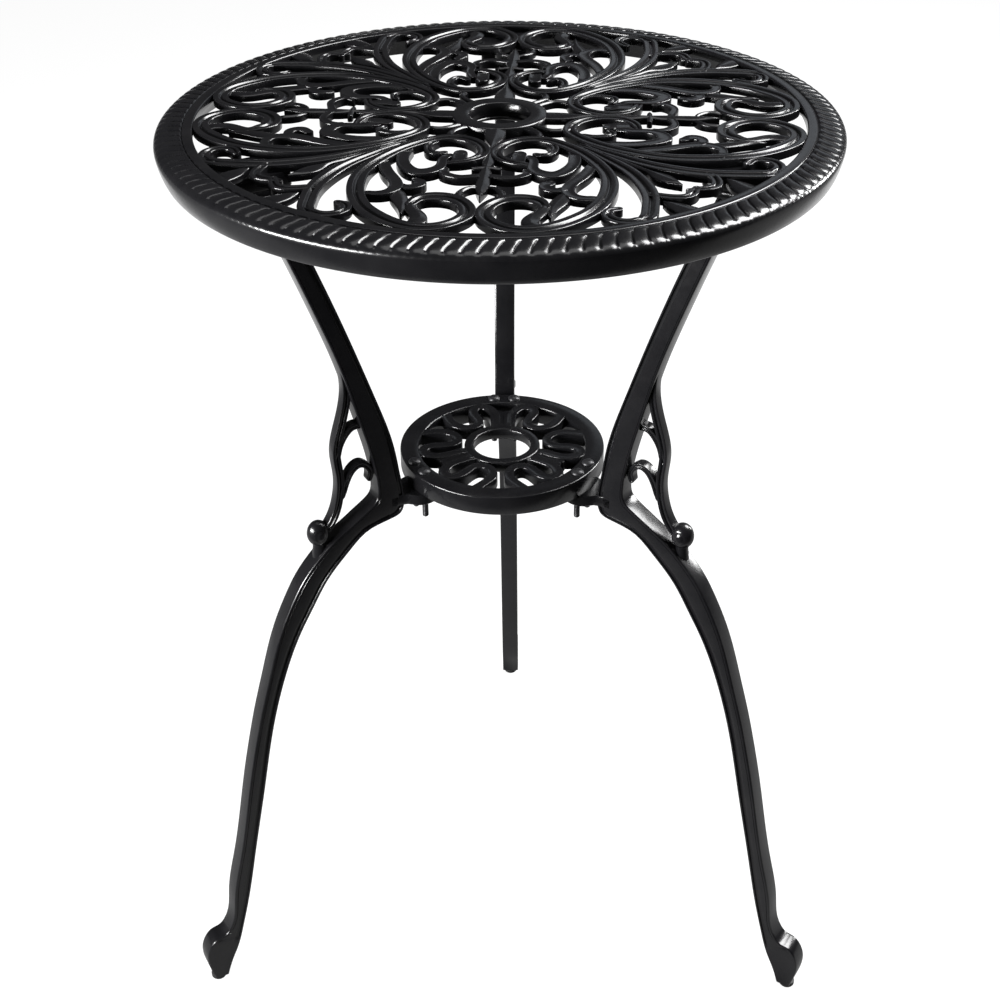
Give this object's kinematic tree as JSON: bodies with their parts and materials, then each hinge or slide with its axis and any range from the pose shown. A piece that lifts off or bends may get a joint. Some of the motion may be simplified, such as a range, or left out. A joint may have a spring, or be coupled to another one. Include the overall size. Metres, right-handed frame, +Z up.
{
  "type": "umbrella side table",
  "caption": "Round cast side table with a scrollwork top, a central umbrella hole, a small lower shelf and a tripod of curved legs on screw-in glides.",
  "frame": {"origin": "on the floor, under the middle of the umbrella hole, with the glides screwed in", "axes": "+Z up along the umbrella hole, +Y towards the rear leg, +X to the right seen from the front"},
  "size_m": [0.5298, 0.5461, 0.74],
  "materials": {
    "casting": "semi-gloss black powder coat on cast aluminium",
    "bolt": "black steel",
    "glide": "black nylon foot on a steel stud"
  },
  "bodies": {
    "table": {"table_top": "casting", "shelf": "casting", "leg_rear": "casting", "leg_front_left": "casting", "leg_front_right": "casting", "shelf_bolt_rear_left": "bolt", "shelf_bolt_rear_right": "bolt", "shelf_bolt_front_left_left": "bolt", "shelf_bolt_front_left_right": "bolt", "shelf_bolt_front_right_left": "bolt", "shelf_bolt_front_right_right": "bolt", "top_bolt_rear_left": "bolt", "top_bolt_rear_right": "bolt", "top_bolt_front_left_left": "bolt", "top_bolt_front_left_right": "bolt", "top_bolt_front_right_left": "bolt", "top_bolt_front_right_right": "bolt"},
    "glide_rear": {"glide_rear": "glide"},
    "glide_front_left": {"glide_front_left": "glide"},
    "glide_front_right": {"glide_front_right": "glide"}
  },
  "joints": [
    {"name": "glide_rear_screw", "type": "slide", "parent": "table", "child": "glide_rear", "axis": [0, 0, -1], "range_m": [0, 0.008]},
    {"name": "glide_front_left_screw", "type": "slide", "parent": "table", "child": "glide_front_left", "axis": [0, 0, -1], "range_m": [0, 0.008]},
    {"name": "glide_front_right_screw", "type": "slide", "parent": "table", "child": "glide_front_right", "axis": [0, 0, -1], "range_m": [0, 0.008]}
  ]
}
